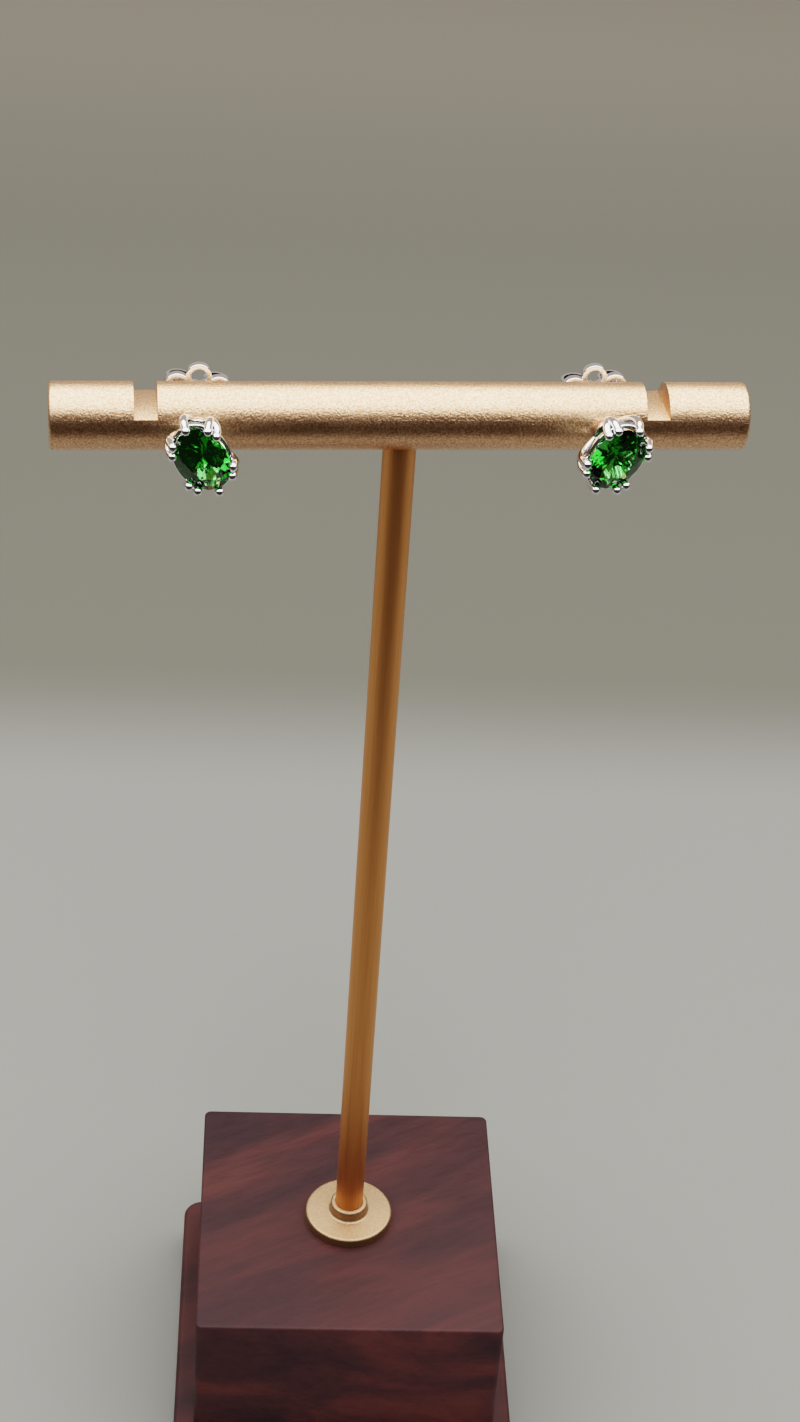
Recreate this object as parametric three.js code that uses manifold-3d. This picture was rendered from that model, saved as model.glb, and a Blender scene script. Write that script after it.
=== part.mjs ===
// A pair of oval stud earrings on a T-bar display stand, as a three.js scene graph.
// Millimetres, +Z up. The studs face -Y, and the origin is the middle of the base's underside.
import * as THREE from "three";
import { mergeVertices } from "three/addons/utils/BufferGeometryUtils.js";
import Module from "manifold-3d";

const wasm = await Module();
wasm.setup();

// Wooden base: a square block glued on a plinth that stands proud of it all round.
const blockWidth = 37;
const blockDepth = 37;
const blockHeight = 19;
const blockCornerRadius = 0.8;
const blockEdgeChamfer = 0.35;
const plinthLedge = 2.5;
const plinthHeight = 6;
const plinthCornerRadius = 2.4;
const plinthEdgeRound = 0.7;

// Gold T: a rod screwed into the block through a round flange, and a crossbar on top of it.
const rodDiameter = 3.4;
const rodSocketDepth = 10;
const rodTopInset = 2.4;
const rodFit = 0.3;
const barAxisAboveBlock = 113;
const barLength = 70;
const barDiameter = 6.8;
const barEndChamfer = 0.3;
const barTwist = THREE.MathUtils.degToRad(4.5);
const flangeDiameter = 10.8;
const flangeThickness = 1.3;
const flangeEdgeRound = 0.35;
const collarDiameter = 4.6;
const collarHeight = 1.5;

// Two notches near the crossbar's ends, open at the top, that hold ear hooks.
const slotSpacing = 51.1;
const slotWidth = 2.3;
const slotDepth = 2.2;

// Studs: one each side of the rod, each pushed through a cross hole in the bar.
const studSpacing = 40.6;
const studSeatGap = 0.3;
const postDiameter = 0.9;
const postLength = 11;
const postHoleClearance = 0.3;
const postNotchDiameter = 0.72;
const postNotchWidth = 0.5;
const postNotchFromTip = 1.5;

// Each stud has turned a little in its hole: the stone's top leans outwards by its tilt.
const studs = [
  { name: "left", side: -1, tilt: THREE.MathUtils.degToRad(27) },
  { name: "right", side: 1, tilt: THREE.MathUtils.degToRad(30) },
];

// Oval brilliant stone. Facet slopes are those of the round cut that the oval is stretched from.
const stoneLength = 7;
const stoneWidth = 5;
const crownHeight = 0.78;
const girdleThickness = 0.12;
const crownSlope = THREE.MathUtils.degToRad(35);
const upperHalfSlope = THREE.MathUtils.degToRad(41);
const starSlope = THREE.MathUtils.degToRad(22);
const pavilionSlope = THREE.MathUtils.degToRad(41);
const lowerHalfSlope = THREE.MathUtils.degToRad(42.6);
const stoneClearance = 0.2;

// Basket setting: a base plate, a rail under the girdle, and ten claws.
const girdleHeight = 5.3;
const clawDiameter = 0.82;
const clawTipDiameter = 0.94;
const clawBulge = 0.6;
const tipOutsideGirdle = 0.2;
const tipAboveGirdle = 0.45;
const basePlateWidth = 2.9;
const basePlateLength = 3.9;
const basePlateThickness = 0.7;
const railHeight = 0.6;
const railBelowGirdle = 0.35;
const railUnderStone = 0.1;
const railIntoClaws = 0.15;
const plateEdgeChamfer = 0.1;

// Claw groups round the oval, in degrees from its long axis: one claw at each end, and four
// stems between them that each fork into two claws.
const singleClawsAt = [0, 180];
const forkedClawsAt = [52, 128, 232, 308];
const forkAngle = 17;

// A claw's centre line from its foot on the plate to the girdle. reach is the share of the way
// out from the foot to the claw's widest, rise a share of the girdle's height, and fork a share
// of half the fork's angle.
const clawStations = [
  { reach: 0, rise: 0.08, fork: 0 },
  { reach: 0.55, rise: 0.34, fork: 0 },
  { reach: 0.9, rise: 0.6, fork: 0.2 },
  { reach: 1, rise: 0.82, fork: 0.75 },
  { reach: 0.93, rise: 0.97, fork: 1 },
];

// Ear nut: a pierced six-petal plate whose two leaves roll back and grip the post.
const petalCount = 6;
const petalOrbit = 2.4;
const petalOverlap = 0.1;
const petalWall = 0.52;
const nutPlateThickness = 0.85;
const nutEdgeRound = 0.12;
const nutTurn = THREE.MathUtils.degToRad(5);
const nutSeatGap = 0.3;
const nutBoreClearance = 0.2;
const scrollRadius = 1.1;
const scrollBandWidth = 3;
const scrollBandThickness = 0.28;
const scrollGap = 0.12;
const scrollSink = 0.1;

// How finely round things are faceted.
const cornerSides = 6;
const barSides = 48;
const flangeSides = 36;
const rodSides = 24;
const postSides = 12;
const clawSides = 8;
const clawSteps = 6;
const tipRings = 5;
const ovalSides = 32;
const girdleSides = 32;
const petalSides = 14;
const scrollSteps = 15;

const halfBar = barDiameter / 2;
const blockTop = plinthHeight + blockHeight;
const barAxisHeight = blockTop + barAxisAboveBlock;
const headBack = halfBar + studSeatGap;
const nutFront = halfBar + nutSeatGap;

const goldMaterial = () =>
  new THREE.MeshStandardMaterial({ color: 0xc9a06c, roughness: 0.45, metalness: 0.9 });
const silverMaterial = () =>
  new THREE.MeshStandardMaterial({ color: 0xdcdcdc, roughness: 0.12, metalness: 1 });
const greenStoneMaterial = () =>
  new THREE.MeshStandardMaterial({ color: 0x0b6b22, roughness: 0.05, metalness: 0 });
const darkWoodMaterial = () =>
  new THREE.MeshStandardMaterial({ color: 0x54332c, roughness: 0.5, metalness: 0 });

// A closed geometry as a solid that can be joined and cut.
function solidOf(geometry) {
  const bare = geometry.clone();
  bare.deleteAttribute("normal");
  bare.deleteAttribute("uv");
  const merged = mergeVertices(bare, 1e-5);
  return new wasm.Manifold(
    new wasm.Mesh({
      numProp: 3,
      vertProperties: new Float32Array(merged.getAttribute("position").array),
      triVerts: new Uint32Array(merged.getIndex().array),
    }),
  );
}

// A solid back as a flat-shaded geometry.
function geometryOf(solid) {
  const mesh = solid.getMesh();
  const geometry = new THREE.BufferGeometry();
  geometry.setAttribute("position", new THREE.BufferAttribute(new Float32Array(mesh.vertProperties), 3));
  geometry.setIndex(new THREE.BufferAttribute(new Uint32Array(mesh.triVerts), 1));
  const flat = geometry.toNonIndexed();
  flat.computeVertexNormals();
  return flat;
}

function namedMesh(name, geometry, material) {
  const mesh = new THREE.Mesh(geometry, material);
  mesh.name = name;
  return mesh;
}

// A solid of revolution about Z from [radius, height] pairs, which start and end on the axis
// or close on themselves.
function turned(profile, sides) {
  const points = profile.map(([radius, height]) => new THREE.Vector2(radius, height));
  return new THREE.LatheGeometry(points, sides).rotateX(Math.PI / 2);
}

function oval(halfWidth, halfLength) {
  return new THREE.Shape().absellipse(0, 0, halfWidth, halfLength, 0, 2 * Math.PI, false, 0);
}

// An outline extruded to a full height, with its edges taken off by the given round.
function slab(shape, height, edge, curveSegments, bevelSegments = 1) {
  return new THREE.ExtrudeGeometry(shape, {
    depth: height - 2 * edge,
    bevelEnabled: edge > 0,
    bevelThickness: edge,
    bevelSize: edge,
    bevelOffset: -edge,
    bevelSegments,
    curveSegments,
  }).translate(0, 0, edge);
}

function roundedRectangle(width, depth, radius) {
  const x = width / 2 - radius;
  const y = depth / 2 - radius;
  return new THREE.Shape()
    .absarc(x, y, radius, 0, Math.PI / 2, false)
    .absarc(-x, y, radius, Math.PI / 2, Math.PI, false)
    .absarc(-x, -y, radius, Math.PI, 1.5 * Math.PI, false)
    .absarc(x, -y, radius, 1.5 * Math.PI, 2 * Math.PI, false);
}

// A round bar of the given radius along an axis, used as a drill.
function drill(radius, length, sides) {
  return new THREE.CylinderGeometry(radius, radius, length, sides);
}

function plinth() {
  const outline = roundedRectangle(
    blockWidth + 2 * plinthLedge,
    blockDepth + 2 * plinthLedge,
    plinthCornerRadius,
  );
  return slab(outline, plinthHeight, plinthEdgeRound, cornerSides / 2, 2);
}

// The block, drilled from above for the rod's screwed end.
function block() {
  const outline = roundedRectangle(blockWidth, blockDepth, blockCornerRadius);
  const body = slab(outline, blockHeight, blockEdgeChamfer, cornerSides / 3)
    .translate(0, 0, plinthHeight);
  const socket = drill(rodDiameter / 2 + rodFit, 2 * (rodSocketDepth + rodFit), rodSides)
    .rotateX(Math.PI / 2)
    .translate(0, 0, blockTop);
  return geometryOf(solidOf(body).subtract(solidOf(socket)));
}

// The round plate that hides the drilled hole, with the short collar round the rod.
function flange() {
  const bore = rodDiameter / 2 + rodFit;
  const rim = flangeDiameter / 2;
  const collar = collarDiameter / 2;
  const collarTop = flangeThickness + collarHeight;
  const midRound = flangeEdgeRound * (1 - Math.SQRT1_2);
  const profile = [
    [bore, 0],
    [rim, 0],
    [rim, flangeThickness - flangeEdgeRound],
    [rim - midRound, flangeThickness - midRound],
    [rim - flangeEdgeRound, flangeThickness],
    [collar + flangeEdgeRound, flangeThickness],
    [collar, flangeThickness + flangeEdgeRound],
    [collar, collarTop - flangeEdgeRound],
    [collar - flangeEdgeRound, collarTop],
    [bore, collarTop],
    [bore, 0],
  ];
  return turned(profile, flangeSides).translate(0, 0, blockTop);
}

// The rod runs from its socket in the block up into the crossbar.
function rod() {
  const bottom = blockTop - rodSocketDepth;
  const top = barAxisHeight - halfBar + rodTopInset;
  return turned([[0, bottom], [rodDiameter / 2, bottom], [rodDiameter / 2, top], [0, top]], rodSides);
}

// The crossbar along X, round its own axis: two notches, two stud holes and the rod's socket.
function crossbar() {
  const end = barLength / 2;
  const bar = turned(
    [
      [0, -end],
      [halfBar - barEndChamfer, -end],
      [halfBar, -end + barEndChamfer],
      [halfBar, end - barEndChamfer],
      [halfBar - barEndChamfer, end],
      [0, end],
    ],
    barSides,
  ).rotateY(Math.PI / 2);
  let solid = solidOf(bar);
  for (const side of [-1, 1]) {
    const slot = new THREE.BoxGeometry(slotWidth, 2 * barDiameter, 2 * slotDepth)
      .translate((side * slotSpacing) / 2, 0, halfBar);
    const hole = drill(postDiameter / 2 + postHoleClearance, 2 * barDiameter, postSides)
      .translate((side * studSpacing) / 2, 0, 0);
    solid = solid.subtract(solidOf(slot)).subtract(solidOf(hole));
  }
  const socket = drill(rodDiameter / 2 + rodFit, 2 * (rodTopInset + rodFit), rodSides)
    .rotateX(Math.PI / 2)
    .translate(0, 0, -halfBar);
  return geometryOf(solid.subtract(solidOf(socket)));
}

// Cuts a ring of facets. Each passes through the given radius and height at its middle, on a
// stone of radius 1, and leans from the girdle plane by the slope. side is 1 above, -1 below.
function cutFacets(solid, { count, first, slope, radius, height, side }) {
  let cut = solid;
  for (let i = 0; i < count; i++) {
    const angle = first + (2 * Math.PI * i) / count;
    const inward = [-Math.cos(angle) * Math.sin(slope), -Math.sin(angle) * Math.sin(slope)];
    const offset = -(radius * Math.sin(slope) + height * side * Math.cos(slope));
    cut = cut.trimByPlane([...inward, -side * Math.cos(slope)], offset);
  }
  return cut;
}

// An oval brilliant, table towards +Z and its girdle's middle at the origin: a round brilliant
// of radius 1, cut facet by facet from a round blank and stretched. The long axis is Y.
function stoneSolid(clearance) {
  const halfWidth = stoneWidth / 2;
  const crown = crownHeight / halfWidth;
  const girdle = girdleThickness / 2 / halfWidth;
  const table = 1 - crown / Math.tan(crownSlope);
  const eighth = Math.PI / 4;
  const chord = Math.cos(eighth / 4);
  const blankLength = 4;
  let stone = solidOf(drill(1, blankLength, girdleSides).rotateX(Math.PI / 2));
  stone = stone.trimByPlane([0, 0, -1], -(crown + girdle));
  const rings = [
    { count: 8, first: 0, slope: crownSlope, radius: 1, height: girdle, side: 1 },
    { count: 16, first: eighth / 4, slope: upperHalfSlope, radius: chord, height: girdle, side: 1 },
    {
      count: 8,
      first: eighth / 2,
      slope: starSlope,
      radius: table * Math.cos(eighth / 2),
      height: crown + girdle,
      side: 1,
    },
    { count: 8, first: 0, slope: pavilionSlope, radius: 1, height: girdle, side: -1 },
    { count: 16, first: eighth / 4, slope: lowerHalfSlope, radius: chord, height: girdle, side: -1 },
  ];
  for (const ring of rings) stone = cutFacets(stone, ring);
  return stone.scale([
    halfWidth + clearance,
    stoneLength / 2 + clearance,
    halfWidth + clearance,
  ]);
}

// A point on an oval round the stud's axis. 0 degrees is on the long axis, at the top.
function onOval(degrees, halfWidth, halfLength, z) {
  const angle = THREE.MathUtils.degToRad(degrees);
  return new THREE.Vector3(halfWidth * Math.sin(angle), halfLength * Math.cos(angle), z);
}

// One claw: a round wire from the plate, out past the girdle and over it to a ball tip. It
// starts at the stem's angle and ends at its own.
function claw(stemAngle, ownAngle) {
  const inset = clawDiameter / 2;
  const foot = { width: basePlateWidth / 2 - inset, length: basePlateLength / 2 - inset };
  const widest = { width: stoneWidth / 2 + clawBulge, length: stoneLength / 2 + clawBulge };
  const points = clawStations.map(({ reach, rise, fork }) =>
    onOval(
      THREE.MathUtils.lerp(stemAngle, ownAngle, fork),
      THREE.MathUtils.lerp(foot.width, widest.width, reach),
      THREE.MathUtils.lerp(foot.length, widest.length, reach),
      girdleHeight * rise,
    ),
  );
  const tip = onOval(
    ownAngle,
    stoneWidth / 2 + tipOutsideGirdle,
    stoneLength / 2 + tipOutsideGirdle,
    girdleHeight + tipAboveGirdle,
  );
  points.push(tip);
  const section = new THREE.Shape().absarc(0, 0, clawDiameter / 2, 0, 2 * Math.PI, false);
  const wire = new THREE.ExtrudeGeometry(section, {
    steps: clawSteps,
    curveSegments: clawSides / 2,
    extrudePath: new THREE.CatmullRomCurve3(points),
  });
  const ball = new THREE.SphereGeometry(clawTipDiameter / 2, clawSides, tipRings)
    .translate(tip.x, tip.y, tip.z);
  return solidOf(wire).add(solidOf(ball));
}

// The rail reaches from under the girdle, where the stone rests on it, out into the claws.
function rail() {
  const outside = clawBulge - clawDiameter / 2 + railIntoClaws;
  const band = oval(stoneWidth / 2 + outside, stoneLength / 2 + outside);
  band.holes.push(oval(stoneWidth / 2 - railUnderStone, stoneLength / 2 - railUnderStone));
  const bottom = girdleHeight - railBelowGirdle - railHeight;
  return slab(band, railHeight, 0, ovalSides / 2).translate(0, 0, bottom);
}

// The post behind the head, with the shallow notch near its tip that the nut's leaves click into.
function post() {
  const radius = postDiameter / 2;
  const notch = postNotchDiameter / 2;
  const notchMiddle = -postLength + postNotchFromTip;
  return turned(
    [
      [0, -postLength],
      [radius / 2, -postLength],
      [radius, -postLength + radius / 2],
      [radius, notchMiddle - postNotchWidth / 2],
      [notch, notchMiddle],
      [radius, notchMiddle + postNotchWidth / 2],
      [radius, basePlateThickness / 2],
      [0, basePlateThickness / 2],
    ],
    postSides,
  );
}

// The whole silver setting in one solid, its back at z 0 and its stone's place facing +Z. The
// stone's own shape, grown by its clearance, notches the claws.
function setting() {
  const plate = slab(
    oval(basePlateWidth / 2, basePlateLength / 2),
    basePlateThickness,
    plateEdgeChamfer,
    ovalSides / 4,
  );
  let solid = solidOf(plate).add(solidOf(post())).add(solidOf(rail()));
  for (const angle of singleClawsAt) solid = solid.add(claw(angle, angle));
  for (const angle of forkedClawsAt) {
    solid = solid.add(claw(angle, angle - forkAngle / 2)).add(claw(angle, angle + forkAngle / 2));
  }
  return geometryOf(solid.subtract(stoneSolid(stoneClearance).translate([0, 0, girdleHeight])));
}

// The plate's scalloped outline, one arc for each petal, pierced in each petal and in the middle.
function nutPlate() {
  const step = (2 * Math.PI) / petalCount;
  const halfPitch = petalOrbit * Math.sin(step / 2);
  const petalRadius = halfPitch + petalOverlap;
  const valley = petalOrbit * Math.cos(step / 2) + Math.sqrt(petalRadius ** 2 - halfPitch ** 2);
  const halfSweep = Math.atan2(
    valley * Math.sin(step / 2),
    valley * Math.cos(step / 2) - petalOrbit,
  );
  const outline = new THREE.Shape();
  for (let i = 0; i < petalCount; i++) {
    const angle = Math.PI / 2 + i * step;
    const x = petalOrbit * Math.cos(angle);
    const y = petalOrbit * Math.sin(angle);
    const hole = petalRadius - petalWall;
    outline.absarc(x, y, petalRadius, angle - halfSweep, angle + halfSweep, false);
    outline.holes.push(new THREE.Path().absarc(x, y, hole, 0, 2 * Math.PI, true));
  }
  const bore = postDiameter / 2 + nutBoreClearance;
  outline.holes.push(new THREE.Path().absarc(0, 0, bore, 0, 2 * Math.PI, true));
  return slab(outline, nutPlateThickness, nutEdgeRound, petalSides / 2);
}

// One rolled leaf, seen along the band's width: three quarters of a circle from the plate round
// to the post, then a spiral that tightens and clears the turn outside it.
function scroll(side) {
  const centreX = postDiameter / 2 + nutBoreClearance + scrollBandThickness / 2 + scrollRadius;
  const centreY = nutPlateThickness - scrollSink + scrollBandThickness / 2 + scrollRadius;
  const quarter = Math.PI / 2;
  const total = 5 * quarter;
  const line = (offset) =>
    Array.from({ length: scrollSteps + 1 }, (_, i) => {
      const turn = (total * i) / scrollSteps;
      const spiralled = Math.max(0, turn / quarter - 3);
      const radius = scrollRadius - spiralled * (scrollBandThickness + scrollGap) + offset;
      const angle = -quarter + turn;
      return new THREE.Vector2(
        side * (centreX + radius * Math.cos(angle)),
        centreY + radius * Math.sin(angle),
      );
    });
  const outer = line(scrollBandThickness / 2);
  const inner = line(-scrollBandThickness / 2).reverse();
  const ribbon = new THREE.Shape([...outer, ...inner]);
  return new THREE.ExtrudeGeometry(ribbon, { depth: scrollBandWidth, bevelEnabled: false })
    .translate(0, 0, -scrollBandWidth / 2)
    .rotateX(Math.PI / 2);
}

// The ear nut: its flat front at z 0, rolled leaves towards +Z, and the post's hole along Z.
function earNut() {
  let solid = solidOf(nutPlate());
  for (const side of [-1, 1]) solid = solid.add(solidOf(scroll(side)));
  return geometryOf(solid);
}

// One stud on the bar. Its own +Z points forward, out of the stone's table.
function stud({ name, side, tilt }) {
  const group = new THREE.Group();
  group.position.set((side * studSpacing) / 2, -headBack, 0);
  group.rotation.x = Math.PI / 2;
  const head = new THREE.Group();
  head.rotation.z = -side * tilt;
  const stone = namedMesh(`${name}_stone`, geometryOf(stoneSolid(0)), greenStoneMaterial());
  stone.position.z = girdleHeight;
  head.add(namedMesh(`${name}_setting`, setting(), silverMaterial()), stone);
  const nut = namedMesh(`${name}_ear_nut`, earNut(), silverMaterial());
  nut.position.z = -headBack - nutFront;
  nut.rotation.set(Math.PI, 0, side * nutTurn, "ZYX");
  group.add(head, nut);
  return group;
}

const stand = new THREE.Group();
stand.add(
  namedMesh("base_plinth", plinth(), darkWoodMaterial()),
  namedMesh("base_block", block(), darkWoodMaterial()),
  namedMesh("rod_flange", flange(), goldMaterial()),
  namedMesh("stand_rod", rod(), goldMaterial()),
);

// The crossbar and what it carries, turned a little on the rod as it was screwed up.
const top = new THREE.Group();
top.position.z = barAxisHeight;
top.rotation.z = barTwist;
top.add(namedMesh("crossbar", crossbar(), goldMaterial()), ...studs.map(stud));
stand.add(top);

export default stand;
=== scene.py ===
import math

import bmesh
import bpy
from mathutils import Matrix, Vector


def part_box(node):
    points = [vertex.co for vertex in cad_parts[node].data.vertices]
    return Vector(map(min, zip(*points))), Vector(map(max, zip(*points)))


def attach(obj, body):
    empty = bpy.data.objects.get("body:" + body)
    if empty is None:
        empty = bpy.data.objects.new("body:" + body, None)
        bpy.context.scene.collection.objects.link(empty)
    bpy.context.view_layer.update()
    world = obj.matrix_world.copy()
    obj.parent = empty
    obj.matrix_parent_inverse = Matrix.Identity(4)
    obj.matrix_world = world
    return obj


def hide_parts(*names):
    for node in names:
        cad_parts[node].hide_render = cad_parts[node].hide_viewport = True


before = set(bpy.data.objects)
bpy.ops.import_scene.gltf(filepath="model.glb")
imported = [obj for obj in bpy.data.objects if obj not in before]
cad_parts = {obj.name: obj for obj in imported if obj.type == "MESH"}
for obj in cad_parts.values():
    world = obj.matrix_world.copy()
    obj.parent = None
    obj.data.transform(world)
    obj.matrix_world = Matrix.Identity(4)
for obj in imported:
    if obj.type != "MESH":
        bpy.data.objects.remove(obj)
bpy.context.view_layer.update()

# The camera stands in front of the bar, a little to its left, and looks down on it. Its place
# and lens come from the photograph's perspective, in millimetres and pixels of an 800 x 1422 image.
MM = 0.001
photo_height_px = 1422
focal_length_px = 2513.8
camera_place_mm = Vector((-14.2, -223.8, 255.9))
camera_yaw = math.radians(4.13)
camera_pitch = math.radians(34.42)
camera_roll = math.radians(4.10)

forward = Vector(
    (
        math.sin(camera_yaw) * math.cos(camera_pitch),
        math.cos(camera_yaw) * math.cos(camera_pitch),
        -math.sin(camera_pitch),
    )
)
level_right = Vector((math.cos(camera_yaw), -math.sin(camera_yaw), 0))
level_up = level_right.cross(forward)
camera_right = level_right * math.cos(camera_roll) + level_up * math.sin(camera_roll)
camera_up = level_up * math.cos(camera_roll) - level_right * math.sin(camera_roll)

camera_data = bpy.data.cameras.new("photo_camera")
camera_data.sensor_width = 36
camera_data.lens = camera_data.sensor_width * focal_length_px / photo_height_px
camera_data.clip_start = 0.01
camera_data.clip_end = 20
camera = bpy.data.objects.new("photo_camera", camera_data)
bpy.context.collection.objects.link(camera)
turn = Matrix((camera_right, camera_up, -forward)).transposed().to_4x4()
camera.matrix_world = Matrix.Translation(camera_place_mm * MM) @ turn
bpy.context.scene.camera = camera


# The wooden base is a square block of dark red-brown hardwood glued on a wider plinth. Both are
# sawn, sanded, stained and oiled to a satin finish, with the grain running askew across the top.
plinth_corner_mm = 2.4
plinth_edge_mm = 0.7
block_corner_mm = 0.8
block_edge_mm = 0.3
corner_segments = 10
edge_segments = 5
grain_turn = math.radians(28)


def linear(hex_colour):
    channels = [int(hex_colour[i : i + 2], 16) / 255 for i in (1, 3, 5)]
    lit = [c / 12.92 if c <= 0.04045 else ((c + 0.055) / 1.055) ** 2.4 for c in channels]
    return (*lit, 1)


def add_node(tree, kind, settings=None, links=None):
    """Adds a node. Settings go to its sockets where it has one by that name, else to itself."""
    node = tree.nodes.new(kind)
    for name, value in (settings or {}).items():
        if name in node.inputs:
            node.inputs[name].default_value = value
        else:
            setattr(node, name, value)
    for name, source in (links or {}).items():
        tree.links.new(source, node.inputs[name])
    return node


def new_material(name):
    material = bpy.data.materials.new(name)
    material.use_nodes = True
    material.node_tree.nodes.clear()
    return material, material.node_tree


def set_ramp(node, stops):
    """Gives a colour ramp its stops, as (place, hex colour)."""
    ramp = node.color_ramp
    while len(ramp.elements) < len(stops):
        ramp.elements.new(0.5)
    for element, (place, colour) in zip(ramp.elements, stops):
        element.position = place
        element.color = linear(colour)


def round_edges(bm, edges, radius_mm, segments, clamp=False):
    """Rounds edges with a bevel. Clamped, it stops where two bevels would meet."""
    bmesh.ops.bevel(
        bm,
        geom=edges,
        offset=radius_mm,
        segments=segments,
        profile=0.5,
        affect="EDGES",
        clamp_overlap=clamp,
        material=-1,
    )


def finish_piece(bm, name, material, body, nodes, sharp_degrees=35):
    """Makes the object of a mesh that was shaped in millimetres, shades it smooth between its
    sharp edges, parents it to its body's empty and hides the CAD nodes that it replaces."""
    bmesh.ops.scale(bm, vec=(MM, MM, MM), verts=bm.verts)
    for face in bm.faces:
        face.smooth = True
    for edge in bm.edges:
        edge.smooth = edge.is_manifold and edge.calc_face_angle(0) < math.radians(sharp_degrees)
    mesh = bpy.data.meshes.new(name)
    bm.to_mesh(mesh)
    bm.free()
    mesh.materials.append(material)
    piece = bpy.data.objects.new(name, mesh)
    bpy.context.collection.objects.link(piece)
    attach(piece, body)
    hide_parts(*nodes)
    return piece


def oiled_hardwood(name, offset_mm):
    """Stained hardwood: broad dark and reddish figure, fine streaks and pores along the grain,
    and a thin coat of oil that gives a soft sheen."""
    figure_width_mm = 6.5
    streak_width_mm = 0.7
    pore_width_mm = 0.22
    grain_stretch = 9
    material, tree = new_material(name)
    place = add_node(tree, "ShaderNodeTexCoord").outputs["Object"]
    turned = add_node(
        tree,
        "ShaderNodeMapping",
        {"Rotation": (0.25, 0.0, -grain_turn), "Location": (offset_mm * MM, 0, 0)},
        {"Vector": place},
    ).outputs["Vector"]
    along = add_node(
        tree, "ShaderNodeMapping", {"Scale": (1 / grain_stretch, 1, 1)}, {"Vector": turned}
    ).outputs["Vector"]
    warp = add_node(
        tree,
        "ShaderNodeTexNoise",
        {"Scale": 1 / (figure_width_mm * MM), "Detail": 2.5, "Roughness": 0.5, "Distortion": 0.8},
        {"Vector": along},
    )
    figure = add_node(tree, "ShaderNodeValToRGB", links={"Fac": warp.outputs["Fac"]})
    set_ramp(figure, [(0.3, "#2c1d20"), (0.48, "#362122"), (0.6, "#3e2424"), (0.75, "#442825")])
    streaks = add_node(
        tree,
        "ShaderNodeTexNoise",
        {"Scale": 1 / (streak_width_mm * MM), "Detail": 3.0, "Roughness": 0.7},
        {"Vector": along},
    )
    streak_tone = add_node(tree, "ShaderNodeValToRGB", links={"Fac": streaks.outputs["Fac"]})
    set_ramp(streak_tone, [(0.35, "#c8c4c4"), (0.6, "#ffffff")])
    streaked = add_node(
        tree,
        "ShaderNodeMix",
        {"data_type": "RGBA", "blend_type": "MULTIPLY", "Factor": 0.4},
    )
    tree.links.new(figure.outputs["Color"], streaked.inputs["A"])
    tree.links.new(streak_tone.outputs["Color"], streaked.inputs["B"])
    pores = add_node(
        tree,
        "ShaderNodeTexNoise",
        {"Scale": 1 / (pore_width_mm * MM), "Detail": 2.0},
        {"Vector": along},
    )
    roughness = add_node(
        tree,
        "ShaderNodeMapRange",
        {"From Min": 0.3, "From Max": 0.7, "To Min": 0.42, "To Max": 0.58},
        {"Value": streaks.outputs["Fac"]},
    )
    relief = add_node(
        tree,
        "ShaderNodeBump",
        {"Strength": 0.35, "Distance": 0.00004},
        {"Height": pores.outputs["Fac"]},
    )
    wood = add_node(
        tree,
        "ShaderNodeBsdfPrincipled",
        {"IOR": 1.5, "Specular IOR Level": 0.2},
        {
            "Base Color": streaked.outputs["Result"],
            "Roughness": roughness.outputs["Result"],
            "Normal": relief.outputs["Normal"],
        },
    )
    add_node(tree, "ShaderNodeOutputMaterial", links={"Surface": wood.outputs["BSDF"]})
    return material


def box_mm(node):
    """A node's lowest and highest corner in millimetres."""
    low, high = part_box(node)
    return Vector(low) / MM, Vector(high) / MM


def wooden_tile(node, corner_mm, edge_mm, name, material):
    """A square of wood: its upright corners are rounded first, then the edges round its faces."""
    low, high = box_mm(node)
    bm = bmesh.new()
    bmesh.ops.create_cube(bm, size=1)
    bmesh.ops.scale(bm, vec=high - low, verts=bm.verts)
    bmesh.ops.translate(bm, vec=(low + high) / 2, verts=bm.verts)
    uprights = [e for e in bm.edges if abs(e.verts[0].co.z - e.verts[1].co.z) > corner_mm]
    round_edges(bm, uprights, corner_mm, corner_segments)
    rims = [
        e
        for e in bm.edges
        if abs(e.verts[0].co.z - e.verts[1].co.z) < 1e-4
        and abs(abs(e.link_faces[0].normal.z) - abs(e.link_faces[1].normal.z)) > 0.5
    ]
    round_edges(bm, rims, edge_mm, edge_segments)
    bmesh.ops.recalc_face_normals(bm, faces=bm.faces)
    return finish_piece(bm, name, material, "stand_with_studs", [node])


wooden_tile(
    "base_plinth", plinth_corner_mm, plinth_edge_mm, "wood_plinth", oiled_hardwood("plinth_wood", 31)
)
wooden_tile(
    "base_block", block_corner_mm, block_edge_mm, "wood_block", oiled_hardwood("block_wood", 0)
)


# The flange and its collar are turned from one piece of brass, blasted with fine grit and plated
# a pale champagne gold. It hides the drilled hole where the rod is screwed into the wood.
flange_radius_mm = 5.4
flange_thickness_mm = 1.3
collar_radius_mm = 2.3
collar_height_mm = 1.5
rod_radius_mm = 1.7
rod_clearance_mm = 0.05
flange_edge_mm = 0.35
flange_sides = 96


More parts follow.
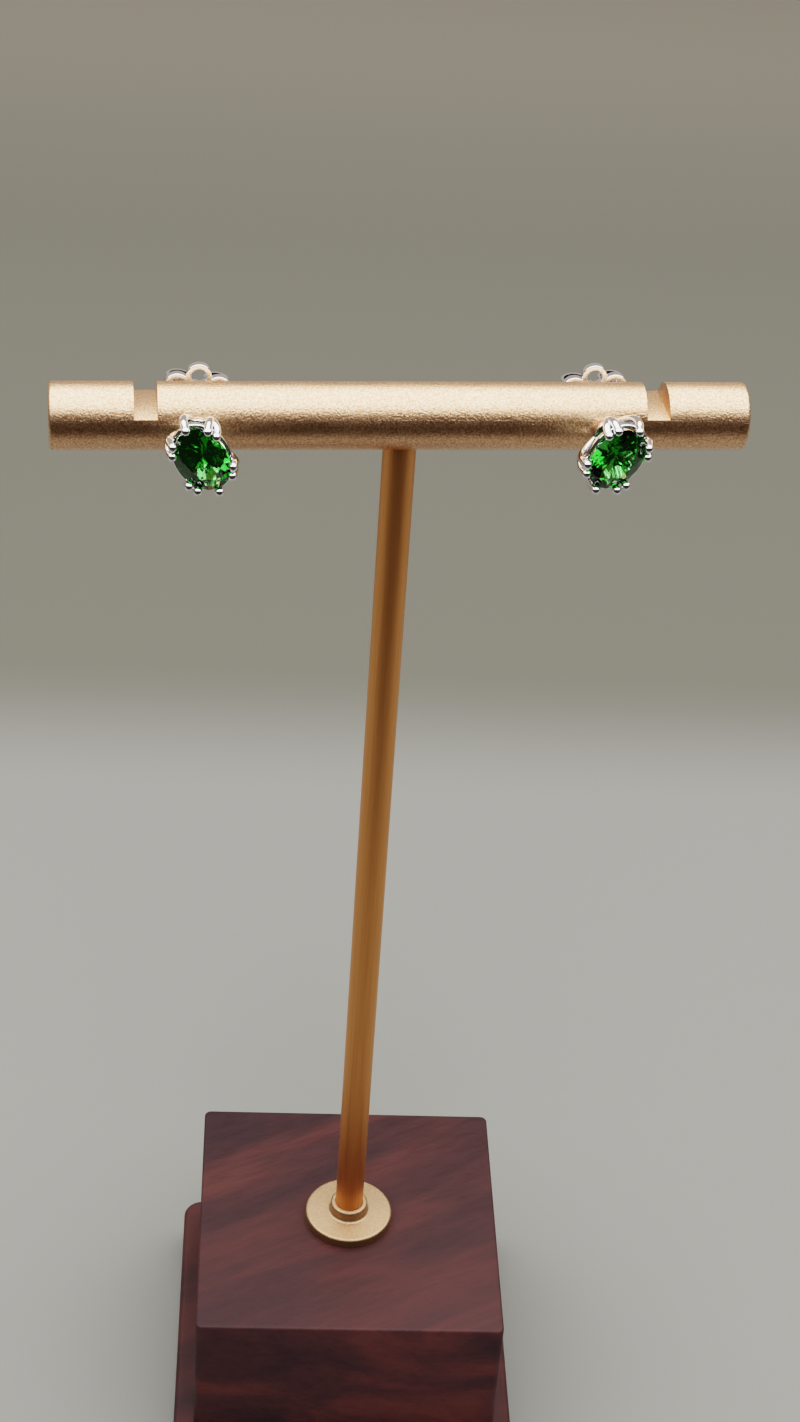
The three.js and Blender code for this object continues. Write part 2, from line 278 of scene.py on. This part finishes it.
def frosted_gold(name, colour, grit_mm, roughness, relief):
    """Grit-blasted and plated brass: a soft sheen with a fine sparkle. Real grit leaves pits of
    about 0.1 mm, which are drawn two or three times as coarse so that they show."""
    patch_mm = 6
    material, tree = new_material(name)
    place = add_node(tree, "ShaderNodeTexCoord").outputs["Object"]
    grit = add_node(
        tree,
        "ShaderNodeTexNoise",
        {"Scale": 1 / (grit_mm * MM), "Detail": 2.0, "Roughness": 0.6},
        {"Vector": place},
    )
    patches = add_node(
        tree, "ShaderNodeTexNoise", {"Scale": 1 / (patch_mm * MM), "Detail": 3.0}, {"Vector": place}
    )
    tone = add_node(tree, "ShaderNodeValToRGB", links={"Fac": grit.outputs["Fac"]})
    set_ramp(tone, [(0.36, colour[0]), (0.64, colour[1])])
    gloss = add_node(
        tree,
        "ShaderNodeMapRange",
        {"From Min": 0.3, "From Max": 0.7, "To Min": roughness - 0.03, "To Max": roughness + 0.03},
        {"Value": patches.outputs["Fac"]},
    )
    pits = add_node(
        tree,
        "ShaderNodeBump",
        {"Strength": relief, "Distance": 0.00005},
        {"Height": grit.outputs["Fac"]},
    )
    metal = add_node(
        tree,
        "ShaderNodeBsdfPrincipled",
        {"Metallic": 1.0},
        {
            "Base Color": tone.outputs["Color"],
            "Roughness": gloss.outputs["Result"],
            "Normal": pits.outputs["Normal"],
        },
    )
    add_node(tree, "ShaderNodeOutputMaterial", links={"Surface": metal.outputs["BSDF"]})
    return material


def turned_piece(profile_mm, steps):
    """A closed outline of (radius, height) points, spun once round Z."""
    bm = bmesh.new()
    points = [bm.verts.new((radius, 0, height)) for radius, height in profile_mm]
    outline = [bm.edges.new((a, b)) for a, b in zip(points, points[1:] + points[:1])]
    bmesh.ops.spin(
        bm,
        geom=points + outline,
        cent=(0, 0, 0),
        axis=(0, 0, 1),
        angle=2 * math.pi,
        steps=steps,
        use_merge=True,
    )
    bmesh.ops.remove_doubles(bm, verts=bm.verts, dist=1e-4)
    bmesh.ops.recalc_face_normals(bm, faces=bm.faces)
    return bm


def edges_at(bm, radius, height):
    """The ring of edges at a radius and height, of a piece turned round Z."""
    return [
        e
        for e in bm.edges
        if all(
            abs(v.co.xy.length - radius) < 1e-3 and abs(v.co.z - height) < 1e-3 for v in e.verts
        )
    ]


block_top_mm = box_mm("base_block")[1].z
collar_top_mm = flange_thickness_mm + collar_height_mm
rod_hole_mm = rod_radius_mm + rod_clearance_mm
flange = turned_piece(
    [
        (rod_hole_mm, 0),
        (flange_radius_mm, 0),
        (flange_radius_mm, flange_thickness_mm),
        (collar_radius_mm, flange_thickness_mm),
        (collar_radius_mm, collar_top_mm),
        (rod_hole_mm, collar_top_mm),
    ],
    flange_sides,
)
rims = edges_at(flange, flange_radius_mm, flange_thickness_mm)
rims += edges_at(flange, collar_radius_mm, collar_top_mm)
rims += edges_at(flange, collar_radius_mm, flange_thickness_mm)
round_edges(flange, rims, flange_edge_mm, edge_segments)
bmesh.ops.translate(flange, vec=(0, 0, block_top_mm), verts=flange.verts)
pale_gold = frosted_gold("pale_gold_flange", ("#9c8166", "#ac9074"), 0.25, 0.5, 0.3)
finish_piece(flange, "gold_flange", pale_gold, "stand_with_studs", ["rod_flange"])


# The rod is drawn brass wire, straightened, brushed and plated a deeper copper gold, so it has a
# satin sheen with faint draw lines along it. Both of its ends are hidden.
rod_low, rod_high = box_mm("stand_rod")
rod_sides = 64
draw_line_mm = 0.12
copper_gold, tree = new_material("copper_gold_rod")
place = add_node(tree, "ShaderNodeTexCoord").outputs["Object"]
along_rod = add_node(
    tree, "ShaderNodeMapping", {"Scale": (1, 1, 0.01)}, {"Vector": place}
).outputs["Vector"]
draw_lines = add_node(
    tree,
    "ShaderNodeTexNoise",
    {"Scale": 1 / (draw_line_mm * MM), "Detail": 2.0},
    {"Vector": along_rod},
)
rod_tone = add_node(tree, "ShaderNodeValToRGB", links={"Fac": draw_lines.outputs["Fac"]})
set_ramp(rod_tone, [(0.3, "#d09460"), (0.7, "#dba06a")])
line_relief = add_node(
    tree,
    "ShaderNodeBump",
    {"Strength": 0.15, "Distance": 0.00003},
    {"Height": draw_lines.outputs["Fac"]},
)
rod_metal = add_node(
    tree,
    "ShaderNodeBsdfPrincipled",
    {"Metallic": 1.0, "Roughness": 0.42},
    {"Base Color": rod_tone.outputs["Color"], "Normal": line_relief.outputs["Normal"]},
)
add_node(tree, "ShaderNodeOutputMaterial", links={"Surface": rod_metal.outputs["BSDF"]})


def round_bar(radius, length, sides, matrix):
    """A plain round bar along Z, moved and turned by a matrix."""
    bm = bmesh.new()
    bmesh.ops.create_cone(
        bm,
        cap_ends=True,
        segments=sides,
        radius1=radius,
        radius2=radius,
        depth=length,
        matrix=matrix,
    )
    return bm


rod_length_mm = rod_high.z - rod_low.z
rod_middle = Matrix.Translation((0, 0, rod_low.z + rod_length_mm / 2))
rod = round_bar(rod_radius_mm, rod_length_mm, rod_sides, rod_middle)
finish_piece(rod, "gold_rod", copper_gold, "stand_with_studs", ["stand_rod"])


# The crossbar is a solid brass bar with two slots milled across its top for ear hooks and two
# cross-drilled holes for the studs, blasted with grit and plated a pinkish champagne gold.
bar_radius_mm = 3.4
bar_length_mm = 70
bar_end_edge_mm = 0.35
bar_turn = math.radians(4.5)
slot_places_mm = (-25.55, 25.55)
slot_width_mm = 2.3
slot_depth_mm = 2.2
slot_edge_mm = 0.12
stud_places_mm = (-20.3, 20.3)
stud_hole_radius_mm = 0.75
stud_hole_sides = 32
bar_sides = 160
small_edge_segments = 4
fine_edge_segments = 3
bar_low, bar_high = box_mm("crossbar")
bar_axis_mm = (bar_low.z + bar_high.z) / 2
bar_frame = Matrix.Translation((0, 0, bar_axis_mm)) @ Matrix.Rotation(bar_turn, 4, "Z")


def cut_away(bm, cutters):
    """Cuts each cutter's closed mesh out of a closed mesh, and gives the new mesh back."""
    objects = []
    for one in [bm, *cutters]:
        mesh = bpy.data.meshes.new("cut")
        one.to_mesh(mesh)
        one.free()
        objects.append(bpy.data.objects.new("cut", mesh))
        bpy.context.collection.objects.link(objects[-1])
    body, *tools = objects
    for tool in tools:
        cut = body.modifiers.new("cut", "BOOLEAN")
        cut.operation = "DIFFERENCE"
        cut.solver = "EXACT"
        cut.object = tool
    bpy.context.view_layer.update()
    cut_mesh = bpy.data.meshes.new_from_object(
        body.evaluated_get(bpy.context.evaluated_depsgraph_get())
    )
    result = bmesh.new()
    result.from_mesh(cut_mesh)
    for done in objects:
        bpy.data.objects.remove(done)
    bpy.data.meshes.remove(cut_mesh)
    return result


along_x = Matrix.Rotation(math.pi / 2, 4, "Y")
along_y = Matrix.Rotation(math.pi / 2, 4, "X")
half_side = Matrix.Rotation(math.pi / bar_sides, 4, "X")
bar = round_bar(bar_radius_mm, bar_length_mm, bar_sides, half_side @ along_x)
end_rims = [e for e in bar.edges if abs(e.verts[0].co.x - e.verts[1].co.x) < 1e-3]
round_edges(bar, end_rims, bar_end_edge_mm, small_edge_segments)
cutters = []
for x in slot_places_mm:
    slot_cutter = bmesh.new()
    bmesh.ops.create_cube(slot_cutter, size=1)
    size = (slot_width_mm, 4 * bar_radius_mm, 2 * slot_depth_mm)
    bmesh.ops.scale(slot_cutter, vec=size, verts=slot_cutter.verts)
    bmesh.ops.translate(slot_cutter, vec=(x, 0, bar_radius_mm), verts=slot_cutter.verts)
    cutters.append(slot_cutter)
for x in stud_places_mm:
    cutters.append(
        round_bar(
            stud_hole_radius_mm,
            4 * bar_radius_mm,
            stud_hole_sides,
            Matrix.Translation((x, 0, 0)) @ along_y,
        )
    )
bar = cut_away(bar, cutters)
bmesh.ops.dissolve_limit(bar, angle_limit=0.001, verts=bar.verts, edges=bar.edges)
slot_edges = [
    e
    for e in bar.edges
    if e.is_manifold
    and e.calc_face_angle(0) > math.radians(30)
    and all(
        any(abs(v.co.x - x) < slot_width_mm / 2 + 0.01 for x in slot_places_mm)
        and v.co.z > bar_radius_mm - slot_depth_mm - 0.01
        for v in e.verts
    )
]
round_edges(bar, slot_edges, slot_edge_mm, fine_edge_segments, clamp=True)
bmesh.ops.transform(bar, matrix=bar_frame, verts=bar.verts)
champagne = frosted_gold("champagne_gold_bar", ("#c2916d", "#edc8a5"), 0.2, 0.34, 1.0)
finish_piece(bar, "gold_crossbar", champagne, "stand_with_studs", ["crossbar"])


# Each stud's head is cast in silver and plated with rhodium: a base plate, ten claws that are
# burnished over the stone's edge to round tips, and a rail under it. The post is soldered on.
girdle_mm = 5.3
stone_half_width_mm = 2.5
stone_half_length_mm = 3.5
plate_half_width_mm = 1.45
plate_half_length_mm = 1.95
plate_thickness_mm = 0.7
plate_edge_mm = 0.15
plate_sides = 56
claw_bulge_mm = 0.5
claw_radius_mm = 0.41
claw_sides = 14
tip_radius_mm = 0.47
tip_outside_mm = 0.2
tip_above_mm = 0.45
rail_low_mm = 4.35
rail_height_mm = 0.6
rail_overhang_mm = 0.2
rail_inset_mm = 0.1
rail_edge_mm = 0.12
rail_sides = 72
post_radius_mm = 0.45
post_length_mm = 11
post_notch_mm = 1.5
post_sides = 28
head_back_mm = 3.7
fork_degrees = 17
single_claws_at = (0, 180)
forked_claws_at = (52, 128, 232, 308)
# Along a claw: the share of the way out, of the girdle's height, of the fork, and of the wire.
claw_stations = (
    {"reach": 0.0, "rise": 0.06, "fork": 0.0, "thick": 1.1},
    {"reach": 0.55, "rise": 0.34, "fork": 0.0, "thick": 1.05},
    {"reach": 0.9, "rise": 0.6, "fork": 0.2, "thick": 1.0},
    {"reach": 1.0, "rise": 0.82, "fork": 0.75, "thick": 1.0},
    {"reach": 0.93, "rise": 0.97, "fork": 1.0, "thick": 1.05},
)
tip_thick = 1.1


def smooth_path(points, steps):
    """Points on a smooth curve through the given ones, with the same number in each span."""
    ends = [2 * points[0] - points[1], *points, 2 * points[-1] - points[-2]]
    path = []
    for a, b, c, d in zip(ends, ends[1:], ends[2:], ends[3:]):
        for i in range(steps):
            t = i / steps
            path.append(
                0.5
                * (
                    2 * b
                    + (c - a) * t
                    + (2 * a - 5 * b + 4 * c - d) * t**2
                    + (3 * b - a - 3 * c + d) * t**3
                )
            )
    return [*path, points[-1]]


def extrude_ring(bm, ring):
    """Extrudes a ring of edges on the spot, and gives back its new vertices and edges."""
    new = bmesh.ops.extrude_edge_only(bm, edges=ring)["geom"]
    verts = [part for part in new if isinstance(part, bmesh.types.BMVert)]
    edges = [part for part in new if isinstance(part, bmesh.types.BMEdge)]
    return verts, edges


def add_wire(bm, path, radii, sides):
    """Extrudes a round section along a path, turning and scaling it at each point."""
    headings = [(b - a).normalized() for a, b in zip(path, path[1:])]
    headings.append(headings[-1])
    start = Matrix.Translation(path[0]) @ headings[0].to_track_quat("Z", "Y").to_matrix().to_4x4()
    made = bmesh.ops.create_circle(bm, cap_ends=True, segments=sides, radius=radii[0], matrix=start)
    ring = [e for e in bm.edges if e.verts[0] in made["verts"] and e.verts[1] in made["verts"]]
    for i in range(1, len(path)):
        verts, ring = extrude_ring(bm, ring)
        bmesh.ops.translate(bm, vec=path[i] - path[i - 1], verts=verts)
        about = Matrix.Translation(-path[i])
        heading = (headings[i - 1] + headings[i]) / 2
        before = (headings[max(i - 2, 0)] + headings[i - 1]) / 2
        swing = before.rotation_difference(heading).to_matrix()
        bmesh.ops.rotate(bm, cent=path[i], matrix=swing, verts=verts)
        scale = radii[i] / radii[i - 1]
        bmesh.ops.scale(bm, vec=(scale,) * 3, space=about, verts=verts)
    bmesh.ops.contextual_create(bm, geom=ring)


def on_oval(degrees, half_width, half_length, height):
    angle = math.radians(degrees)
    return Vector((half_width * math.sin(angle), half_length * math.cos(angle), height))


def mix(a, b, share):
    return a + (b - a) * share


def add_claw(bm, stem_degrees, own_degrees):
    """A claw rises from the plate's rim, swings out round the stone and bends over its edge. Two
    claws that share a stem part on the way up."""
    points = []
    for station in claw_stations:
        points.append(
            on_oval(
                mix(stem_degrees, own_degrees, station["fork"]),
                mix(
                    plate_half_width_mm - claw_radius_mm,
                    stone_half_width_mm + claw_bulge_mm,
                    station["reach"],
                ),
                mix(
                    plate_half_length_mm - claw_radius_mm,
                    stone_half_length_mm + claw_bulge_mm,
                    station["reach"],
                ),
                girdle_mm * station["rise"],
            )
        )
    tip = on_oval(
        own_degrees,
        stone_half_width_mm + tip_outside_mm,
        stone_half_length_mm + tip_outside_mm,
        girdle_mm + tip_above_mm,
    )
    points.append(tip)
    steps = 4
    path = smooth_path(points, steps)
    thick = [station["thick"] for station in claw_stations] + [tip_thick]
    radii = []
    for i in range(len(path)):
        span, rest = divmod(i, steps)
        following = thick[min(span + 1, len(thick) - 1)]
        radii.append(claw_radius_mm * mix(thick[span], following, rest / steps))
    add_wire(bm, path, radii, claw_sides)
    bmesh.ops.create_uvsphere(
        bm, u_segments=20, v_segments=12, radius=tip_radius_mm, matrix=Matrix.Translation(tip)
    )


def add_rail(bm):
    """A band of rounded section that follows the oval under the stone."""
    outer = claw_bulge_mm - claw_radius_mm + rail_overhang_mm
    inner = -rail_inset_mm
    before = set(bm.verts)
    bmesh.ops.create_circle(bm, cap_ends=False, segments=rail_sides, radius=1)
    ring_verts = [v for v in bm.verts if v not in before]
    outer_size = Vector((stone_half_width_mm + outer, stone_half_length_mm + outer, 1))
    inner_size = Vector((stone_half_width_mm + inner, stone_half_length_mm + inner, 1))
    narrower = Vector((inner_size.x / outer_size.x, inner_size.y / outer_size.y, 1))
    wider = Vector((outer_size.x / inner_size.x, outer_size.y / inner_size.y, 1))
    bmesh.ops.scale(bm, vec=outer_size, verts=ring_verts)
    bmesh.ops.translate(bm, vec=(0, 0, rail_low_mm), verts=ring_verts)
    ring = list({e for v in ring_verts for e in v.link_edges})
    for size, rise in ((None, rail_height_mm), (narrower, 0), (None, -rail_height_mm), (wider, 0)):
        verts, ring = extrude_ring(bm, ring)
        bmesh.ops.translate(bm, vec=(0, 0, rise), verts=verts)
        if size:
            bmesh.ops.scale(bm, vec=size, verts=verts)
    ring_verts = [v for v in bm.verts if v not in before]
    bmesh.ops.remove_doubles(bm, verts=ring_verts, dist=1e-4)
    ring_verts = [v for v in bm.verts if v not in before]
    edges = {e for v in ring_verts for e in v.link_edges}
    faces = list({f for v in ring_verts for f in v.link_faces})
    bmesh.ops.recalc_face_normals(bm, faces=faces)
    corner_edges = [e for e in edges if e.is_manifold and e.calc_face_angle(0) > 1]
    round_edges(bm, corner_edges, rail_edge_mm, fine_edge_segments)


def add_plate_and_post(bm):
    """The oval plate behind the stone, and the round post with a notch near its tip, where the
    ear nut clicks in."""
    made = bmesh.ops.create_circle(bm, cap_ends=True, segments=plate_sides, radius=1)
    bmesh.ops.scale(bm, vec=(plate_half_width_mm, plate_half_length_mm, 1), verts=made["verts"])
    face = made["verts"][0].link_faces[0]
    top = bmesh.ops.extrude_face_region(bm, geom=[face])["geom"]
    top_verts = [g for g in top if isinstance(g, bmesh.types.BMVert)]
    bmesh.ops.translate(bm, vec=(0, 0, plate_thickness_mm), verts=top_verts)
    verts = set(made["verts"]) | set(top_verts)
    edges = {e for v in verts for e in v.link_edges}
    flat = [e for e in edges if abs(e.verts[0].co.z - e.verts[1].co.z) < 1e-4]
    round_edges(bm, flat, plate_edge_mm, small_edge_segments)
    tip = -post_length_mm
    notch = tip + post_notch_mm
    # Heights along the post, and the share of its radius there.
    stations = (
        (tip, 0.5),
        (tip + 0.08, 0.75),
        (tip + 0.25, 1),
        (notch - 0.3, 1),
        (notch - 0.12, 0.82),
        (notch + 0.12, 0.82),
        (notch + 0.3, 1),
        (plate_thickness_mm / 2, 1),
    )
    path = [Vector((0, 0, height)) for height, _ in stations]
    add_wire(bm, path, [post_radius_mm * share for _, share in stations], post_sides)


def polished_silver():
    """Rhodium-plated silver, polished on a wheel: a bright near-mirror with faint wipe marks."""
    wipe_mm = 0.8
    material, tree = new_material("polished_rhodium_silver")
    place = add_node(tree, "ShaderNodeTexCoord").outputs["Object"]
    wipes = add_node(
        tree,
        "ShaderNodeTexNoise",
        {"Scale": 1 / (wipe_mm * MM), "Detail": 3.0},
        {"Vector": place},
    )
    gloss = add_node(
        tree,
        "ShaderNodeMapRange",
        {"From Min": 0.35, "From Max": 0.65, "To Min": 0.04, "To Max": 0.09},
        {"Value": wipes.outputs["Fac"]},
    )
    silver = add_node(
        tree,
        "ShaderNodeBsdfPrincipled",
        {"Metallic": 1.0, "Base Color": linear("#e9e8ea")},
        {"Roughness": gloss.outputs["Result"]},
    )
    add_node(tree, "ShaderNodeOutputMaterial", links={"Surface": silver.outputs["BSDF"]})
    return material


silver = polished_silver()
studs = (
    {"name": "left", "place": stud_places_mm[0], "tilt": math.radians(27)},
    {"name": "right", "place": stud_places_mm[1], "tilt": math.radians(-30)},
)
head_frames = {}
for stud in studs:
    stud_frame = bar_frame @ Matrix.Translation((stud["place"], -head_back_mm, 0))
    head_frames[stud["name"]] = stud_frame @ along_y
    head = bmesh.new()
    add_plate_and_post(head)
    add_rail(head)
    for degrees in single_claws_at:
        add_claw(head, degrees, degrees)
    for degrees in forked_claws_at:
        add_claw(head, degrees, degrees - fork_degrees / 2)
        add_claw(head, degrees, degrees + fork_degrees / 2)
    bmesh.ops.recalc_face_normals(head, faces=head.faces)
    turned_head = head_frames[stud["name"]] @ Matrix.Rotation(stud["tilt"], 4, "Z")
    bmesh.ops.transform(head, matrix=turned_head, verts=head.verts)
    finish_piece(
        head,
        f"{stud['name']}_silver_head",
        silver,
        "stand_with_studs",
        [f"{stud['name']}_setting"],
        sharp_degrees=50,
    )


# The stones are vivid green ovals, cut with flat polished facets and held by the claws. Light
# bounces inside their clear green glass, so they flash in places and stay nearly black in others.
# Their own solids are shown, since they have every facet.
absorption_per_m = 500.0
green, tree = new_material("green_gem")
stone_glass = add_node(
    tree,
    "ShaderNodeBsdfPrincipled",
    {
        "Base Color": linear("#c0f5bc"),
        "Roughness": 0.0,
        "IOR": 1.74,
        "Transmission Weight": 1.0,
    },
)
stone_body = add_node(
    tree, "ShaderNodeVolumeAbsorption", {"Color": linear("#30d850"), "Density": absorption_per_m}
)
add_node(
    tree,
    "ShaderNodeOutputMaterial",
    links={"Surface": stone_glass.outputs["BSDF"], "Volume": stone_body.outputs["Volume"]},
)
for stud in studs:
    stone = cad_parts[f"{stud['name']}_stone"]
    stone.data.materials.clear()
    stone.data.materials.append(green)


# The ear nuts are pressed from silver sheet: a flower of six pierced petals round a hub, with two
# tongues rolled up behind it that grip the post between them.
petal_count = 6
petal_orbit_mm = 2.4
petal_outer_mm = 1.3
petal_inner_mm = 0.78
nut_thickness_mm = 0.85
nut_edge_mm = 0.1
nut_bore_mm = 0.62
hub_gap_mm = 0.05
ring_sides = 40
nut_front_mm = 3.7
nut_turn = math.radians(5)
roll_radius_mm = 1.1
roll_width_mm = 3.0
roll_thickness_mm = 0.28
roll_gap_mm = 0.12
roll_clearance_mm = 0.2
roll_sink_mm = 0.1
roll_steps = 40
roll_turns = 1.25
roll_tightens_after = 0.75


def add_ring(bm, centre, inner, outer):
    """A flat ring with rounded edges, spun from a square section round its own centre."""
    corners = [(inner, 0), (outer, 0), (outer, nut_thickness_mm), (inner, nut_thickness_mm)]
    points = [bm.verts.new((radius, 0, height)) for radius, height in corners]
    outline = [bm.edges.new((a, b)) for a, b in zip(points, points[1:] + points[:1])]
    before = set(bm.verts) - set(points)
    bmesh.ops.spin(
        bm,
        geom=points + outline,
        axis=(0, 0, 1),
        angle=2 * math.pi,
        steps=ring_sides,
        use_merge=True,
    )
    ring_verts = [v for v in bm.verts if v not in before]
    bmesh.ops.remove_doubles(bm, verts=ring_verts, dist=1e-4)
    ring_verts = [v for v in bm.verts if v not in before]
    faces = list({f for v in ring_verts for f in v.link_faces})
    bmesh.ops.recalc_face_normals(bm, faces=faces)
    rims = [
        e
        for e in {e for v in ring_verts for e in v.link_edges}
        if e.is_manifold and e.calc_face_angle(0) > math.radians(45)
    ]
    round_edges(bm, rims, nut_edge_mm, small_edge_segments)
    ring_verts = [v for v in bm.verts if v not in before]
    bmesh.ops.translate(bm, vec=centre, verts=ring_verts)


def add_roll(bm, side):
    """One rolled tongue: a strip's end that is extruded round the roll and tightens inward."""
    half = roll_thickness_mm / 2
    reach = post_radius_mm + roll_clearance_mm + half + roll_radius_mm
    rise = nut_thickness_mm - roll_sink_mm + half + roll_radius_mm
    centre = Vector((side * reach, 0, rise))
    start = centre - Vector((0, 0, roll_radius_mm))
    corners = [
        start + Vector((0, y, z))
        for y, z in (
            (-roll_width_mm / 2, -half),
            (roll_width_mm / 2, -half),
            (roll_width_mm / 2, half),
            (-roll_width_mm / 2, half),
        )
    ]
    verts = [bm.verts.new(c) for c in corners]
    end = bm.faces.new(verts)
    ring = list(end.edges)
    step = 2 * math.pi * roll_turns / roll_steps
    swing = Matrix.Rotation(-side * step, 3, "Y")
    inward_step = 4 * (roll_thickness_mm + roll_gap_mm) * roll_turns / roll_steps
    for i in range(roll_steps):
        verts, ring = extrude_ring(bm, ring)
        bmesh.ops.rotate(bm, cent=centre, matrix=swing, verts=verts)
        if (i + 1) / roll_steps * roll_turns > roll_tightens_after:
            middle = sum((v.co for v in verts), Vector()) / len(verts)
            inward = (centre - middle).normalized() * inward_step
            bmesh.ops.translate(bm, vec=inward, verts=verts)
    bmesh.ops.contextual_create(bm, geom=ring)


for stud in studs:
    nut = bmesh.new()
    for i in range(petal_count):
        angle = math.pi / 2 + 2 * math.pi * i / petal_count
        centre = Vector((math.cos(angle), math.sin(angle), 0)) * petal_orbit_mm
        add_ring(nut, centre, petal_inner_mm, petal_outer_mm)
    add_ring(nut, Vector(), nut_bore_mm, petal_orbit_mm - petal_inner_mm - hub_gap_mm)
    for side in (-1, 1):
        add_roll(nut, side)
    bmesh.ops.recalc_face_normals(nut, faces=nut.faces)
    flip = Matrix.Rotation(math.pi, 4, "X")
    spin = Matrix.Rotation(math.copysign(nut_turn, stud["place"]), 4, "Z")
    seat = Matrix.Translation((0, 0, -head_back_mm - nut_front_mm))
    nut_frame = head_frames[stud["name"]] @ seat @ spin @ flip
    bmesh.ops.transform(nut, matrix=nut_frame, verts=nut.verts)
    finish_piece(
        nut,
        f"{stud['name']}_flower_nut",
        silver,
        f"{stud['name']}_nut",
        [f"{stud['name']}_ear_nut"],
        sharp_degrees=40,
    )


# The floor is a pale sheet with painted shade in its colour: it is painted lighter in front of the
# stand, darker from a little behind it, where a studio sweep's overhead light falls off, and lighter
# again far back. It melts into the backdrop far from the stand.
darker_from_m = 0.121
darker_to_m = 0.54
fade_from_m = 0.62
fade_to_m = 0.95
floor_half_m = 3.0
floor_front_m = -0.13
paper, tree = new_material("pale_paper")
place = add_node(tree, "ShaderNodeTexCoord").outputs["Object"]
depth = add_node(tree, "ShaderNodeSeparateXYZ", links={"Vector": place}).outputs["Y"]
fade = add_node(
    tree,
    "ShaderNodeMapRange",
    {"From Min": darker_from_m, "From Max": darker_to_m},
    {"Value": depth},
)
away = add_node(tree, "ShaderNodeVectorMath", {"operation": "LENGTH"}, {"Vector": place})
edge_fade = add_node(
    tree,
    "ShaderNodeMapRange",
    {
        "From Min": fade_from_m,
        "From Max": fade_to_m,
        "To Min": 1.0,
        "To Max": 0.0,
        "interpolation_type": "SMOOTHSTEP",
    },
    {"Value": away.outputs["Value"]},
)
# Painted shade and light: the paper's grey is lighter in front, darker behind the stand and lighter
# again at the back.
paper_and_painted_shade = add_node(tree, "ShaderNodeValToRGB", links={"Fac": fade.outputs["Result"]})
paper_and_painted_shade.color_ramp.interpolation = "EASE"
set_ramp(paper_and_painted_shade, [(0.0, "#6e6e6a"), (0.1, "#54524a"), (0.5, "#56544c"), (1.0, "#6a665c")])
sheet = add_node(
    tree,
    "ShaderNodeBsdfPrincipled",
    {"Roughness": 0.8},
    {"Base Color": paper_and_painted_shade.outputs["Color"], "Alpha": edge_fade.outputs["Result"]},
)
add_node(tree, "ShaderNodeOutputMaterial", links={"Surface": sheet.outputs["BSDF"]})

# The sheet in front is a piece of its own, because polished metal and stone don't mirror it: they
# show the dim room there, as in the photograph.
for name, near, far in (
    ("floor", floor_front_m, floor_half_m),
    ("floor_in_front", -floor_half_m, floor_front_m),
):
    bm = bmesh.new()
    bmesh.ops.create_grid(bm, x_segments=1, y_segments=1, size=1)
    bmesh.ops.scale(bm, vec=(floor_half_m, (far - near) / 2, 1), verts=bm.verts)
    bmesh.ops.translate(bm, vec=(0, (far + near) / 2, 0), verts=bm.verts)
    mesh = bpy.data.meshes.new(name)
    bm.to_mesh(mesh)
    bm.free()
    mesh.materials.append(paper)
    floor = bpy.data.objects.new(name, mesh)
    bpy.context.collection.objects.link(floor)
    if name == "floor_in_front":
        floor.visible_glossy = False
        floor.visible_transmission = False


# One large softbox hangs over the stand and lights everything from above. The room in front of it
# is dim, so polished metal shows dark where it faces the viewer, and lighter behind.
softbox_data = bpy.data.lights.new("softbox", "AREA")
softbox_data.shape = "RECTANGLE"
softbox_data.size = 1.6
softbox_data.size_y = 0.92
softbox_data.energy = 15.2
softbox = bpy.data.objects.new("softbox", softbox_data)
softbox.location = (0, 0, 0.56)
softbox.visible_camera = False
bpy.context.collection.objects.link(softbox)

# A low, soft light from the front lifts the shade on the wood's front. Metal and stone don't
# mirror it.
fill_data = bpy.data.lights.new("front_fill", "SUN")
fill_data.energy = 3.2
fill_data.angle = math.radians(50)
fill = bpy.data.objects.new("front_fill", fill_data)
fill.rotation_euler = (math.radians(80), 0, 0)
fill.visible_glossy = False
fill.visible_transmission = False
bpy.context.collection.objects.link(fill)

world = bpy.data.worlds.new("studio")
bpy.context.scene.world = world
world.use_nodes = True
tree = world.node_tree
tree.nodes.clear()
seen = add_node(tree, "ShaderNodeLightPath").outputs["Is Camera Ray"]
heading = add_node(tree, "ShaderNodeTexCoord").outputs["Generated"]
behind = add_node(tree, "ShaderNodeSeparateXYZ", links={"Vector": heading}).outputs["Y"]
room_tone = add_node(
    tree,
    "ShaderNodeMapRange",
    {"From Min": -0.3, "From Max": 0.6, "To Min": 0.13, "To Max": 1.1},
    {"Value": behind},
)
room = add_node(
    tree,
    "ShaderNodeBackground",
    {"Color": linear("#a8a098")},
    {"Strength": room_tone.outputs["Result"]},
)
backdrop = add_node(tree, "ShaderNodeBackground", {"Color": linear("#979186"), "Strength": 1.0})
both = add_node(tree, "ShaderNodeMixShader", links={"Fac": seen})
tree.links.new(room.outputs["Background"], both.inputs[1])
tree.links.new(backdrop.outputs["Background"], both.inputs[2])
add_node(tree, "ShaderNodeOutputWorld", links={"Surface": both.outputs["Shader"]})

# This view keeps the bar's bright highlight cream, where a plain one turns it yellow.
bpy.context.scene.view_settings.view_transform = "Filmic"
bpy.context.scene.view_settings.look = "High Contrast"
bpy.context.view_layer.update()
